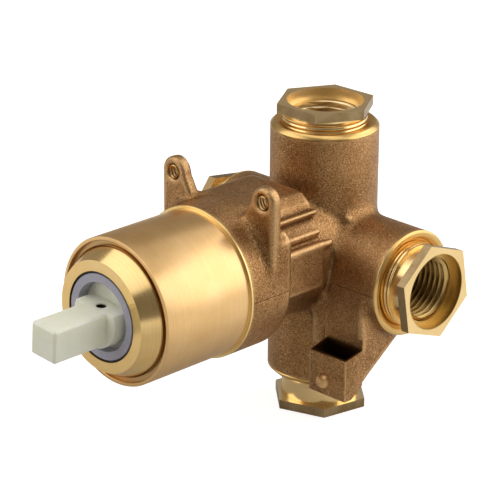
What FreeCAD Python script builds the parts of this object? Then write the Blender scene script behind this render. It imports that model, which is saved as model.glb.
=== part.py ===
import FreeCAD, Part
import math
import os
from types import SimpleNamespace

import Sketcher

# A rough-in shower mixer valve. All sizes are in millimetres.
# The origin is where the inlet axis (X) crosses the outlet axis (Z). The user's side faces -Y.
# Places named "front" or "back" are measured from the origin towards the user, along -Y.
# A size given in words is worked out on the sheet from the sizes that drive it.

SIZES = {
    # Hex bushings: their pipe thread sets the ports' sizes
    "bush_bore_radius": 9.4,
    "bush_mouth_step": 1.45,
    "bush_mouth_radius": "bush_bore_radius + bush_mouth_step",
    "bush_mouth_depth": 3.0,
    "bush_wall": 1.05,
    "bush_thread_radius": "bush_mouth_radius + bush_wall",
    "bush_thread_depth": 0.65,
    "bush_collar_radius": "bush_thread_radius - bush_thread_depth",
    "bush_engagement": 9.5,
    "bush_thread_showing": 2.0,
    "hex_margin": 0.55,
    "hex_flats": "2 * (bush_thread_radius + hex_margin)",
    "hex_thickness": 2.7,
    "hot_stand_off": 6.9,
    "cold_stand_off": 8.8,
    "shower_stand_off": 5.9,
    "tub_stand_off": 10.3,
    "hot_hex_turn": 51.4,
    "cold_hex_turn": 40.0,
    "shower_hex_turn": 2.0,
    "tub_hex_turn": 19.0,
    # Clearances
    "running_gap": 0.05,
    "seat_gap": 0.1,
    "thread_gap": 0.15,
    # Ports, upright tube and side arms of the casting
    "port_thread_radius": "bush_thread_radius + seat_gap",
    "port_runout": 1.5,
    "port_thread_depth": "bush_engagement + port_runout",
    "port_countersink": 1.6,
    "port_rim": 1.9,
    "tube_radius": "port_thread_radius + port_countersink + port_rim",
    "tube_top": 39.9,
    "tube_bottom": 36.2,
    "tube_top_bevel": 1.0,
    "tube_bottom_bevel": 1.5,
    "arm_step": 0.2,
    "arm_radius": "tube_radius - arm_step",
    "arm_reach": 34.6,
    "arm_bevel": 0.5,
    "waterway_step": 1.4,
    "waterway_radius": "bush_bore_radius - waterway_step",
    "inlet_wall": 4.0,
    # Barrel, hub, chamber and neck, turned about an axis above the inlet axis: the cartridge sets their sizes
    "barrel_rise": 4.4,
    "cavity_radius": 16.6,
    "nut_thread_wall": 1.5,
    "nut_thread_radius": "cavity_radius + nut_thread_wall",
    "mouth_step": 1.55,
    "mouth_radius": "nut_thread_radius + thread_gap + mouth_step",
    "mouth_depth": 1.2,
    "rim_lip": 1.1,
    "barrel_radius": "mouth_radius + rim_lip",
    "barrel_bevel": 0.4,
    "hub_step": 0.9,
    "hub_radius": "barrel_radius + hub_step",
    "gallery_step": 0.8,
    "gallery_radius": "cavity_radius - gallery_step",
    "neck_wall": 1.6,
    "neck_radius": "gallery_radius + neck_wall",
    "socket_radius": 10.4,
    # Places along the barrel, from the tube out to the user
    "chamber_gap": 3.5,
    "chamber_back": "tube_radius + chamber_gap",
    "seat_wall": 5.4,
    "seat_front": "chamber_back + seat_wall",
    "gallery_wall": 5.6,
    "gallery_back": "seat_front + gallery_wall",
    "gallery_width": 12.0,
    "gallery_front": "gallery_back + gallery_width",
    "cavity_wall": 4.0,
    "cavity_floor": "gallery_front + cavity_wall",
    "plate_set_back": 3.1,
    "plate_front": "cavity_floor - plate_set_back",
    "plate_thickness": 3.6,
    "plate_back": "plate_front - plate_thickness",
    "hub_band": 4.3,
    "hub_back": "plate_back - hub_band",
    "hub_bevel": 0.8,
    "hub_length": 7.6,
    "shoulder_front": "plate_front + hub_length",
    "floor_thickness": 4.3,
    "housing_floor": "cavity_floor + seat_gap + floor_thickness",
    "gasket_thickness": 0.7,
    "gasket_back": "housing_floor + seat_gap",
    "fixed_disc_thickness": 4.0,
    "fixed_disc_back": "gasket_back + gasket_thickness + running_gap",
    "fixed_disc_front": "fixed_disc_back + fixed_disc_thickness",
    "rotating_disc_thickness": 5.6,
    "rotating_disc_back": "fixed_disc_front + running_gap",
    "rotating_disc_front": "rotating_disc_back + rotating_disc_thickness",
    "stem_flange_thickness": 6.9,
    "stem_flange_back": "rotating_disc_front + seat_gap",
    "stem_flange_front": "stem_flange_back + stem_flange_thickness",
    "cap_back": "stem_flange_front + seat_gap",
    "cap_spigot_length": 4.0,
    "cap_flange_back": "cap_back + cap_spigot_length",
    "cap_flange_thickness": 5.4,
    "nut_shoulder": "cap_flange_back + cap_flange_thickness + seat_gap",
    "nut_shoulder_depth": 3.1,
    "rim_front": "nut_shoulder + nut_shoulder_depth",
    "nut_base_lift": 0.3,
    "nut_base_back": "rim_front - mouth_depth + nut_base_lift",
    "nut_base_height": 0.7,
    "nut_base_front": "nut_base_back + nut_base_height",
    "nut_cone_height": 5.2,
    "nut_front": "nut_base_front + nut_cone_height",
    "nut_back_gap": 0.3,
    "nut_back": "cap_flange_back + nut_back_gap",
    "nut_runout": 5.9,
    "cap_sunk": 0.1,
    "cap_front": "nut_front - cap_sunk",
    "stem_recess": 3.5,
    "journal_front": "cap_front - stem_recess",
    "collar_length": 6.0,
    "collar_front": "journal_front + collar_length",
    "square_length": 17.9,
    # Plate with two screw ears, and the pad behind it
    "pad_step": 0.1,
    "pad_half_width": "hub_radius - pad_step",
    "pad_flank": 5.1,
    "pad_height": "pad_half_width - pad_flank",
    "pad_corner": 2.5,
    "ear_radius": 4.3,
    "ear_across": "pad_half_width - ear_radius",
    "ear_stand": 4.1,
    "ear_height": "barrel_rise + hub_radius + ear_stand",
    "ear_hole_radius": 2.1,
    "ear_root_across": 9.3,
    "ear_root_rise": 19.2,
    # Ribs on the chamber's side, and the ridge where the tube meets the right arm
    "crown_set": 0.3,
    "crown_rise": "hub_radius - crown_set",
    "crown_half_flat": 9.6,
    "corner_across": 12.6,
    "corner_rise": 19.0,
    "valley_across": 13.3,
    "valley_rise": 17.1,
    "top_rib_across": 15.8,
    "top_rib_rise": 17.6,
    "rib_drop": 1.2,
    "upper_step_across": 14.4,
    "upper_step_rise": 15.2,
    "middle_step_across": 15.2,
    "middle_step_rise": 12.4,
    "middle_rib_across": 17.0,
    "middle_rib_rise": 11.8,
    "groove_across": 15.2,
    "groove_rise": 8.0,
    "side_step_across": 17.2,
    "side_step_rise": 8.9,
    "side_half_width": 19.0,
    "side_rise": 8.7,
    "side_drop": 4.75,
    "low_rib_radius": 1.3,
    "low_rib_reach": 3.6,
    "ridge_radius": 1.1,
    "ridge_lift": 0.2,
    "ridge_front": 7.3,
    "ridge_length": 12.0,

    "lobe_across": 13.1,
    "lobe_set_back": 2.5,
    "lobe_radius": 3.2,
    "lobe_drop": 20.2,
    "box_wall": 2.4,
    "box_skin": 1.0,
    "box_left": 16.5,
    "box_width": 13.7,
    "box_right": "box_left + box_width",
    "box_depth": 6.8,
    "box_front": "arm_radius + box_depth",
    "box_lip": 19.0,
    "lip_rise": 1.6,
    "box_bottom": 31.1,
    "box_heel": 2.8,
    "gusset_slope": 0.71,
    "gusset_back": 3.0,
    "nub_radius": 2.2,
    "nub_across": 22.1,
    "nub_height": 4.2,

    "return_wall": 0.9,
    "return_orbit": "(socket_radius + neck_radius) / 2",
    "return_radius": "(neck_radius - socket_radius) / 2 - return_wall",
    # Cartridge: housing, cap and discs
    "housing_gap": 0.2,
    "housing_radius": "cavity_radius - housing_gap",
    "housing_wall": 2.2,
    "housing_bore_radius": "housing_radius - housing_wall",
    "nose_radius": "socket_radius - housing_gap",
    "nose_back": "seat_front + seat_gap",
    "nose_rim": 0.6,
    "seal_web": 1.2,
    "seal_radius": "(nose_radius - nose_rim - seal_web) / 2",
    "seal_width": 1.6,
    "seal_depth": 1.6,
    "feed_across": "seal_radius + seal_web",
    "feed_radius": "seal_radius - seal_width",
    "ring_groove_set": 9.6,
    "ring_groove_back": "housing_floor + ring_groove_set",
    "ring_groove_width": 2.0,
    "ring_groove_depth": 1.4,
    "port_radius": 2.0,
    "port_across": 3.4,
    "slot_half_width": 2.2,
    "slot_web": 1.3,
    "slot_inner": "spool_bore_radius + slot_web",
    "slot_set": 2.0,
    "disc_step": 1.0,
    "disc_radius": "housing_bore_radius - disc_step",
    "channel_half_width": 5.4,
    "channel_half_height": 9.0,
    "channel_depth": 2.0,
    "spigot_gap": 0.3,
    "cap_spigot_radius": "housing_bore_radius - spigot_gap",
    "cap_flange_step": 1.0,
    "cap_flange_radius": "housing_radius - cap_flange_step",
    "cap_bore_radius": 9.7,
    "cap_ring_wall": 2.3,
    "cap_ring_radius": "cap_bore_radius + cap_ring_wall",
    "dust_seal_gap": 0.7,
    "dust_seal_sunk": 0.5,
    # Retainer nut's boss
    "nut_bore_radius": "cap_ring_radius + dust_seal_gap",
    "nut_face_width": 3.05,
    "nut_face_radius": "nut_bore_radius + nut_face_width",
    "nut_base_gap": 1.4,
    "nut_base_radius": "mouth_radius - nut_base_gap",
    # Control stem
    "stem_turn": 4.0,
    "journal_radius": "cap_bore_radius - running_gap",
    "collar_step": 1.65,
    "collar_radius": "journal_radius - collar_step",
    "square_side_step": 3.25,
    "square_side": "collar_radius - square_side_step",
    "square_key_step": 4.6,
    "square_key": "collar_radius - square_key_step",
    "square_drop_step": 1.9,
    "square_drop": "collar_radius - square_drop_step",
    "square_bevel": 0.6,
    "stem_hole_radius": 1.45,
    "stem_hole_set_back": 2.4,
    "stem_hole_depth": 4.0,
    "stem_ring_set": 6.0,
    "stem_ring_back": "cap_back + stem_ring_set",
    "stem_ring_width": 2.0,
    "stem_ring_depth": 1.4,
    "tang_across": 7.5,
    "tang_half_thickness": 1.6,
    "tang_half_width": 3.0,
    "tang_length": 2.4,
    # Balance spool, lying across the cartridge's nose
    "spool_front": "(gallery_back + gallery_front) / 2",
    "spool_bore_radius": 4.7,
    "sleeve_inset": 1.0,
    "sleeve_length": "2 * (nose_radius - sleeve_inset)",
    "sleeve_wall": 1.05,
    "sleeve_bore_radius": "spool_bore_radius - running_gap - sleeve_wall",
    "sleeve_hole_radius": 1.6,
    "sleeve_hole_across": 4.4,
    "piston_length": 10.0,
    "piston_radius": "sleeve_bore_radius - running_gap",
    "piston_waist_step": 1.35,
    "piston_land": 3.2,
    "plug_thickness": 1.6,
}

doc = FreeCAD.newDocument("ShowerMixerValve")
sheet = doc.addObject("Spreadsheet::Sheet", "Sizes")
for row, (alias, amount) in enumerate(SIZES.items(), start=1):
    sheet.set(f"A{row}", alias)
    sheet.set(f"B{row}", f"={amount}" if isinstance(amount, str) else str(amount))
    sheet.setAlias(f"B{row}", alias)
doc.recompute()


class Size:
    """A number, and the formula on the sheet's cells that gives it."""

    def __init__(self, value, formula):
        self.value = value
        self.formula = formula

    def __add__(self, other):
        other = as_size(other)
        return Size(self.value + other.value, f"({self.formula} + {other.formula})")

    def __sub__(self, other):
        other = as_size(other)
        return Size(self.value - other.value, f"({self.formula} - {other.formula})")

    def __mul__(self, other):
        other = as_size(other)
        return Size(self.value * other.value, f"({self.formula} * {other.formula})")

    def __truediv__(self, other):
        other = as_size(other)
        return Size(self.value / other.value, f"({self.formula} / {other.formula})")

    def __neg__(self):
        return self * -1


def as_size(number):
    return number if isinstance(number, Size) else Size(number, repr(float(number)))


def cosine(degrees):
    return Size(math.cos(math.radians(degrees.value)), f"cos({degrees.formula} * 1 deg)")


def sine(degrees):
    return Size(math.sin(math.radians(degrees.value)), f"sin({degrees.formula} * 1 deg)")


S = SimpleNamespace(**{alias: Size(float(sheet.get(alias)), f"Sizes.{alias}") for alias in SIZES})

FULL_TURN = 360.0
X_AXIS = FreeCAD.Vector(1, 0, 0)
Y_AXIS = FreeCAD.Vector(0, 1, 0)
Z_AXIS = FreeCAD.Vector(0, 0, 1)
FACING_USER = FreeCAD.Rotation(X_AXIS, 90)
OVERCUT = 1.0
NODES = []


def new_body(label):
    """A sub-part. Its label names its file."""
    body = doc.addObject("PartDesign::Body", label)
    body.Label = label
    NODES.append(body)
    return body


def bind(thing, setting, size):
    thing.setExpression(setting, as_size(size).formula)


def attach(thing, body, role, shift):
    """Puts a sketch or primitive on one of the body's origin planes, shifted in that plane's own axes."""
    plane = next(f for f in body.Origin.OriginFeatures if f.Role == role)
    thing.AttachmentSupport = [(plane, "")]
    thing.MapMode = "FlatFace"
    for axis, amount in zip("xyz", shift):
        bind(thing, f"AttachmentOffset.Base.{axis}", amount)


def pin_corner(sketch, segment, along, amount):
    """Fixes the start of a segment at a distance from the sketch's origin."""
    size = as_size(amount)
    if size.value == 0:
        axis = -2 if along == "X" else -1
        sketch.addConstraint(Sketcher.Constraint("PointOnObject", segment, 1, axis))
    elif size.value > 0:
        index = sketch.addConstraint(Sketcher.Constraint(f"Distance{along}", -1, 1, segment, 1, size.value))
        bind(sketch, f"Constraints[{index}]", size)
    else:
        index = sketch.addConstraint(Sketcher.Constraint(f"Distance{along}", segment, 1, -1, 1, -size.value))
        bind(sketch, f"Constraints[{index}]", -size)


def outline(body, name, role, corners, shift=(0, 0, 0), half_round=None):
    """A closed outline through its corners. The segment half_round is a half circle on a level chord."""
    sketch = body.newObject("Sketcher::SketchObject", name)
    attach(sketch, body, role, shift)
    points = [FreeCAD.Vector(as_size(x).value, as_size(y).value, 0) for x, y in corners]
    for index, start in enumerate(points):
        end = points[(index + 1) % len(points)]
        if index == half_round:
            middle = (start + end) / 2
            angle = math.atan2(start.y - middle.y, start.x - middle.x)
            circle = Part.Circle(middle, Z_AXIS, start.distanceToPoint(middle))
            sketch.addGeometry(Part.ArcOfCircle(circle, angle, angle + math.pi))
        else:
            sketch.addGeometry(Part.LineSegment(start, end))
    for index in range(len(points)):
        following = (index + 1) % len(points)
        sketch.addConstraint(Sketcher.Constraint("Coincident", index, 2, following, 1))
    for index, (x, y) in enumerate(corners):
        pin_corner(sketch, index, "X", x)
        pin_corner(sketch, index, "Y", y)
    if half_round is not None:
        sketch.addConstraint(Sketcher.Constraint("Horizontal", half_round, 1, half_round, 3))
    return sketch


def box_corners(x_low, x_high, y_low, y_high):
    return [(x_low, y_low), (x_high, y_low), (x_high, y_high), (x_low, y_high)]


def revolve(body, name, kind, role, corners, axis="V_Axis", shift=(0, 0, 0)):
    """Turns an outline about one of its sketch's axes, adding or cutting a round form."""
    sketch = outline(body, f"{name}Profile", role, corners, shift)
    turned = body.newObject(f"PartDesign::{kind}", name)
    turned.Profile = sketch
    turned.ReferenceAxis = (sketch, [axis])
    turned.Angle = FULL_TURN
    return turned


def turn(body, name, corners):
    """A piece turned about its own Z axis, from corners given as (radius, place along the axis)."""
    return revolve(body, name, "Revolution", "XZ_Plane", corners)


def extrude(body, name, kind, sketch, length):
    form = body.newObject(f"PartDesign::{kind}", name)
    form.Profile = sketch
    bind(form, "Length", length)
    return form


def round_form(body, name, kind, role, radius, length, shift):
    """A cylinder along a plane's normal, from shift onwards."""
    form = body.newObject(f"PartDesign::{kind}Cylinder", name)
    attach(form, body, role, shift)
    bind(form, "Radius", radius)
    bind(form, "Height", length)
    return form


def ring_corners(inner, outer, back, front):
    return [(inner, back), (outer, back), (outer, front), (inner, front)]


def seat_in_barrel(body, turn_degrees=0.0):
    """Places a piece that was modelled about Z on the barrel's axis, facing the user."""
    spin = FreeCAD.Rotation(Z_AXIS, turn_degrees)
    body.Placement = FreeCAD.Placement(FreeCAD.Vector(0, 0, S.barrel_rise.value), FACING_USER * spin)


def make_casting():
    body = new_body("body_casting")
    add_bracket(body)
    add_main_forms(body)
    add_crown(body)
    add_plate(body)
    cut_ports(body)
    cut_cavity(body)


def add_bracket(body):
    """Open box in front of the right arm, on a flat wall and a gusset under the arm, and the rib beside it."""
    wall_back = S.box_wall - S.arm_radius
    heel_back = S.box_heel - S.box_front
    wall = outline(
        body, "WallOutline", "YZ_Plane",
        box_corners(-S.arm_radius, wall_back, -S.box_lip - S.box_wall, 0),
        shift=(0, 0, S.lobe_across),
    )
    extrude(body, "Wall", "Pad", wall, S.box_right - S.lobe_across)
    box = outline(
        body, "BoxOutline", "YZ_Plane",
        [
            (-S.box_front, -S.box_lip),
            (-S.box_front, -S.box_bottom),
            (heel_back, -S.box_bottom),
            (wall_back, S.gusset_slope * (wall_back - heel_back) - S.box_bottom),
            (wall_back, S.lip_rise - S.box_lip),
            (-S.arm_radius, S.lip_rise - S.box_lip),
        ],
        shift=(0, 0, S.box_left),
    )
    extrude(body, "Box", "Pad", box, S.box_width)
    nub = body.newObject("PartDesign::AdditiveSphere", "BoxNub")
    attach(nub, body, "XZ_Plane", (S.nub_across, S.nub_height - S.box_bottom, S.box_front))
    bind(nub, "Radius", S.nub_radius)
    gusset = outline(
        body, "GussetOutline", "YZ_Plane",
        [
            (wall_back, 0),
            (wall_back, S.gusset_slope * (wall_back - heel_back) - S.box_bottom),
            (S.gusset_back, S.gusset_slope * (S.gusset_back - heel_back) - S.box_bottom),
            (S.gusset_back, 0),
        ],
        shift=(0, 0, S.box_right - S.box_wall),
    )
    extrude(body, "Gusset", "Pad", gusset, S.box_wall)
    hollow = outline(
        body, "HollowOutline", "XY_Plane",
        box_corners(
            S.box_left + S.box_skin, S.box_right - S.box_skin,
            S.box_skin - S.box_front, -S.arm_radius,
        ),
        shift=(0, 0, S.lip_rise - S.box_lip),
    )
    floor_rise = S.box_wall + S.gusset_slope * (S.box_depth - S.box_heel)
    extrude(body, "BoxHollow", "Pocket", hollow, S.box_bottom - S.box_lip + S.lip_rise - floor_rise)
    lobe_front = S.lobe_set_back - S.tube_radius
    lobe = outline(
        body, "LobeOutline", "XY_Plane",
        [
            (S.lobe_across - S.lobe_radius, lobe_front),
            (S.lobe_across + S.lobe_radius, lobe_front),
            (S.lobe_across + S.lobe_radius, 0),
            (S.lobe_across - S.lobe_radius, 0),
        ],
        shift=(0, 0, -S.lobe_drop),
        half_round=0,
    )
    extrude(body, "Lobe", "Pad", lobe, S.lobe_drop)


def add_main_forms(body):
    """Upright tube, side arms, and the neck, chamber, hub and barrel that stand out towards the user."""
    revolve(body, "Tube", "Revolution", "XZ_Plane", [
        (0, -S.tube_bottom),
        (S.tube_radius - S.tube_bottom_bevel, -S.tube_bottom),
        (S.tube_radius, S.tube_bottom_bevel - S.tube_bottom),
        (S.tube_radius, S.tube_top - S.tube_top_bevel),
        (S.tube_radius - S.tube_top_bevel, S.tube_top),
        (0, S.tube_top),
    ])
    revolve(body, "Arms", "Revolution", "XZ_Plane", [
        (-S.arm_reach, 0),
        (S.arm_reach, 0),
        (S.arm_reach, S.arm_radius - S.arm_bevel),
        (S.arm_reach - S.arm_bevel, S.arm_radius),
        (S.arm_bevel - S.arm_reach, S.arm_radius),
        (-S.arm_reach, S.arm_radius - S.arm_bevel),
    ], axis="H_Axis")
    revolve(body, "Barrel", "Revolution", "YZ_Plane", [
        (0, 0),
        (0, S.neck_radius),
        (-S.hub_back, S.neck_radius),
        (-S.hub_back, S.hub_radius - S.hub_bevel),
        (-S.hub_back - S.hub_bevel, S.hub_radius),
        (-S.shoulder_front, S.hub_radius),
        (-S.shoulder_front, S.barrel_radius),
        (S.barrel_bevel - S.rim_front, S.barrel_radius),
        (-S.rim_front, S.barrel_radius - S.barrel_bevel),
        (-S.rim_front, 0),
    ], axis="H_Axis", shift=(0, S.barrel_rise, 0))


def add_crown(body):
    """Chamber behind the hub: a flat top, and straight sides stepped above into ribs that run to the tube."""
    right = [
        (S.side_half_width, -S.side_drop),
        (S.side_half_width, S.side_rise),
        (S.side_step_across, S.side_step_rise),
        (S.groove_across, S.groove_rise),
        (S.middle_rib_across, S.middle_rib_rise - S.rib_drop),
        (S.middle_rib_across, S.middle_rib_rise),
        (S.middle_step_across, S.middle_step_rise),
        (S.upper_step_across, S.upper_step_rise),
        (S.top_rib_across, S.top_rib_rise - S.rib_drop),
        (S.top_rib_across, S.top_rib_rise),
        (S.valley_across, S.valley_rise),
        (S.corner_across, S.corner_rise),
        (S.crown_half_flat, S.crown_rise),
    ]
    left = [(-across, rise) for across, rise in reversed(right)]
    crown = outline(
        body, "CrownOutline", "XZ_Plane", right + left, shift=(0, S.barrel_rise, S.chamber_back),
    )
    extrude(body, "Crown", "Pad", crown, S.plate_back - S.chamber_back)
    for side, name in ((1, "RightLowRib"), (-1, "LeftLowRib")):
        round_form(
            body, name, "Additive", "XZ_Plane", S.low_rib_radius, S.low_rib_reach + S.low_rib_radius,
            (
                (S.side_half_width - S.low_rib_radius) * side,
                S.barrel_rise + S.side_rise - S.low_rib_radius,
                S.chamber_back - S.low_rib_reach,
            ),
        )
    round_form(
        body, "Ridge", "Additive", "XZ_Plane", S.ridge_radius, S.ridge_length,
        (S.tube_radius - S.ridge_lift, S.arm_radius + S.ridge_lift, S.ridge_front - S.ridge_length),
    )


def add_plate(body):
    """Plate with a screw ear on each side, and the pad that backs it."""
    ear = outline(
        body, "EarOutline", "XZ_Plane",
        [
            (S.ear_across + S.ear_radius, S.ear_height),
            (S.ear_across - S.ear_radius, S.ear_height),
            (S.ear_root_across, S.barrel_rise + S.ear_root_rise),
            (S.ear_root_across, S.barrel_rise),
            (S.ear_across + S.ear_radius, S.barrel_rise),
        ],
        shift=(0, 0, S.plate_back),
        half_round=0,
    )
    right_ear = extrude(body, "RightEar", "Pad", ear, S.plate_thickness)
    left_ear = body.newObject("PartDesign::Mirrored", "LeftEar")
    left_ear.Originals = [right_ear]
    left_ear.MirrorPlane = (next(f for f in body.Origin.OriginFeatures if f.Role == "YZ_Plane"), [""])
    body.Tip = left_ear
    wide, high, corner = S.pad_half_width, S.pad_height, S.pad_corner
    pad = outline(
        body, "PadOutline", "XZ_Plane",
        [
            (wide, 0),
            (wide, high - corner),
            (wide - corner, high),
            (corner - wide, high),
            (-wide, high - corner),
            (-wide, 0),
        ],
        shift=(0, S.barrel_rise, S.hub_back),
    )
    extrude(body, "BackingPad", "Pad", pad, S.hub_band + S.plate_thickness / 2)
    for side, name in ((1, "RightEarHole"), (-1, "LeftEarHole")):
        round_form(
            body, name, "Subtractive", "XZ_Plane", S.ear_hole_radius, S.plate_thickness + 2 * OVERCUT,
            (S.ear_across * side, S.ear_height, S.plate_back - OVERCUT),
        )


def port_corners(face, end):
    """Half section of a port: countersink, thread wall and waterway, as (radius, place along the axis)."""
    thread_end = face - S.port_thread_depth
    mouth_radius = S.port_thread_radius + S.port_countersink
    return [
        (0, face + OVERCUT),
        (mouth_radius, face + OVERCUT),
        (mouth_radius, face),
        (S.port_thread_radius, face - S.port_countersink),
        (S.port_thread_radius, thread_end),
        (S.waterway_radius, thread_end),
        (S.waterway_radius, end),
        (0, end),
    ]


def cut_ports(body):
    """Two inlets that stop short of each other, and two outlets that stop short of the inlets."""
    upper = port_corners(S.tube_top, S.return_orbit + S.barrel_rise)
    revolve(body, "ShowerPort", "Groove", "XZ_Plane", upper)
    lower = port_corners(S.tube_bottom, S.return_orbit - S.barrel_rise)
    revolve(body, "TubPort", "Groove", "XZ_Plane", [(radius, -as_size(place)) for radius, place in lower])
    inlet = port_corners(S.arm_reach, S.inlet_wall)
    revolve(body, "ColdPort", "Groove", "XZ_Plane", [(place, radius) for radius, place in inlet], axis="H_Axis")
    revolve(body, "HotPort", "Groove", "XZ_Plane", [(-as_size(place), radius) for radius, place in inlet],
            axis="H_Axis")


def cut_cavity(body):
    """Stepped cavity for the cartridge, its inlet feeds, and the returns from the gallery to the outlets."""
    thread_wall = S.nut_thread_radius + S.thread_gap
    thread_front = S.rim_front - S.mouth_depth
    thread_back = S.nut_back - S.nut_runout
    revolve(body, "Cavity", "Groove", "YZ_Plane", [
        (-S.rim_front - OVERCUT, 0),
        (-S.rim_front - OVERCUT, S.mouth_radius),
        (-thread_front, S.mouth_radius),
        (-thread_front, thread_wall),
        (-thread_back, thread_wall),
        (-thread_back, S.cavity_radius),
        (-S.cavity_floor, S.cavity_radius),
        (-S.cavity_floor, S.socket_radius),
        (-S.gallery_front, S.socket_radius),
        (-S.gallery_front, S.gallery_radius),
        (-S.gallery_back, S.gallery_radius),
        (-S.gallery_back, S.socket_radius),
        (-S.seat_front, S.socket_radius),
        (-S.seat_front, 0),
    ], axis="H_Axis", shift=(0, S.barrel_rise, 0))
    for side, name in ((1, "ColdFeed"), (-1, "HotFeed")):
        round_form(
            body, name, "Subtractive", "XZ_Plane", S.feed_radius, S.seat_front + OVERCUT,
            (S.feed_across * side, S.barrel_rise, 0),
        )
    for side, name in ((1, "ShowerReturn"), (-1, "TubReturn")):
        round_form(
            body, name, "Subtractive", "XZ_Plane", S.return_radius, S.gallery_back + OVERCUT,
            (0, S.barrel_rise + S.return_orbit * side, 0),
        )


def make_retainer_nut():
    body = new_body("retainer_nut")
    turn(body, "Nut", [
        (S.nut_bore_radius, S.nut_shoulder),
        (S.cap_flange_radius + S.seat_gap, S.nut_shoulder),
        (S.cap_flange_radius + S.seat_gap, S.nut_back),
        (S.nut_thread_radius, S.nut_back),
        (S.nut_thread_radius, S.nut_base_back),
        (S.nut_base_radius, S.nut_base_back),
        (S.nut_base_radius, S.nut_base_front),
        (S.nut_face_radius, S.nut_front),
        (S.nut_bore_radius, S.nut_front),
    ])
    seat_in_barrel(body)


def make_cartridge_cap():
    body = new_body("cartridge_cap")
    flange_front = S.cap_flange_back + S.cap_flange_thickness
    turn(body, "Cap", [
        (S.cap_bore_radius, S.cap_back),
        (S.cap_spigot_radius, S.cap_back),
        (S.cap_spigot_radius, S.cap_flange_back),
        (S.cap_flange_radius, S.cap_flange_back),
        (S.cap_flange_radius, flange_front),
        (S.cap_ring_radius, flange_front),
        (S.cap_ring_radius, S.cap_front),
        (S.cap_bore_radius, S.cap_front),
    ])
    seat_in_barrel(body)


def make_dust_seal():
    """Thin ring that fills the gap between the nut and the cap, standing a little back from both."""
    body = new_body("dust_seal")
    turn(body, "Seal", ring_corners(
        S.cap_ring_radius + S.running_gap, S.nut_bore_radius - S.running_gap,
        S.nut_shoulder + S.seat_gap, S.cap_front - S.dust_seal_sunk,
    ))
    seat_in_barrel(body)


def cut_disc_ports(body, back, front):
    """The two inlet holes and two return slots that pass through everything below the rotating disc."""
    length = front - back
    for side, name in ((1, "ColdHole"), (-1, "HotHole")):
        round_form(body, name, "Subtractive", "XY_Plane", S.port_radius, length, (S.port_across * side, 0, back))
    for side, name in ((1, "UpperSlot"), (-1, "LowerSlot")):
        reach = sorted([S.slot_inner * side, S.nose_radius * side], key=lambda edge: edge.value)
        slot = outline(
            body, f"{name}Outline", "XY_Plane",
            box_corners(-S.slot_half_width, S.slot_half_width, *reach), shift=(0, 0, front),
        )
        extrude(body, name, "Pocket", slot, length)


def make_cartridge_housing():
    """Open cup for the discs, with a solid nose that holds the balance spool and plugs into the casting."""
    body = new_body("cartridge_housing")
    cup_back = S.cavity_floor + S.seat_gap
    groove_floor = S.housing_radius - S.ring_groove_depth
    groove_front = S.ring_groove_back + S.ring_groove_width
    turn(body, "Housing", [
        (0, S.nose_back),
        (S.nose_radius, S.nose_back),
        (S.nose_radius, cup_back),
        (S.housing_radius, cup_back),
        (S.housing_radius, S.ring_groove_back),
        (groove_floor, S.ring_groove_back),
        (groove_floor, groove_front),
        (S.housing_radius, groove_front),
        (S.housing_radius, S.cap_flange_back - S.seat_gap),
        (S.housing_bore_radius, S.cap_flange_back - S.seat_gap),
        (S.housing_bore_radius, S.housing_floor),
        (0, S.housing_floor),
    ])
    reach = S.nose_radius + OVERCUT
    round_form(body, "SpoolBore", "Subtractive", "YZ_Plane", S.spool_bore_radius, reach * 2,
               (0, S.spool_front, -reach))
    for side, name in ((1, "ColdInlet"), (-1, "HotInlet")):
        across = S.feed_across * side
        round_form(body, name, "Subtractive", "XY_Plane", S.feed_radius, S.spool_front - S.nose_back,
                   (across, 0, S.nose_back))
        round_form(body, f"{name}Recess", "Subtractive", "XY_Plane", S.seal_radius + S.running_gap, S.seal_depth,
                   (across, 0, S.nose_back))
    for side, name in ((1, "ColdOutlet"), (-1, "HotOutlet")):
        round_form(body, name, "Subtractive", "XY_Plane", S.port_radius, S.housing_floor - S.spool_front,
                   (S.port_across * side, 0, S.spool_front))
    for side, name in ((1, "UpperReturn"), (-1, "LowerReturn")):
        reach = sorted([S.slot_inner * side, S.nose_radius * side], key=lambda edge: edge.value)
        slot = outline(
            body, f"{name}Outline", "XY_Plane",
            box_corners(-S.slot_half_width, S.slot_half_width, *reach), shift=(0, 0, S.housing_floor),
        )
        extrude(body, name, "Pocket", slot, S.housing_floor - S.spool_front - S.slot_set)
    seat_in_barrel(body)


def make_housing_o_ring():
    body = new_body("housing_o_ring")
    groove_floor = S.housing_radius - S.ring_groove_depth
    turn(body, "Ring", ring_corners(
        groove_floor + S.running_gap, S.cavity_radius - S.running_gap,
        S.ring_groove_back + S.running_gap, S.ring_groove_back + S.ring_groove_width - S.running_gap,
    ))
    seat_in_barrel(body)


def make_port_seals():
    """A ring in each recess of the housing's nose, pressed on the casting's seat."""
    for side, label in ((1, "cold_port_seal"), (-1, "hot_port_seal")):
        body = new_body(label)
        turn(body, "Seal", ring_corners(
            S.feed_radius, S.seal_radius,
            S.seat_front + S.running_gap, S.seat_front + S.seat_gap + S.seal_depth - S.running_gap,
        ))
        seat_in_barrel(body)
        body.Placement.Base.x = S.feed_across.value * side


def make_lower_discs():
    """Gasket and fixed disc, stacked on the housing's floor."""
    radius = S.housing_bore_radius - S.seat_gap
    for label, back, thickness in (
        ("disc_gasket", S.gasket_back, S.gasket_thickness),
        ("fixed_disc", S.fixed_disc_back, S.fixed_disc_thickness),
    ):
        body = new_body(label)
        front = back + thickness
        turn(body, "Disc", [(0, back), (radius, back), (radius, front), (0, front)])
        cut_disc_ports(body, back, front)
        seat_in_barrel(body)


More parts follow.
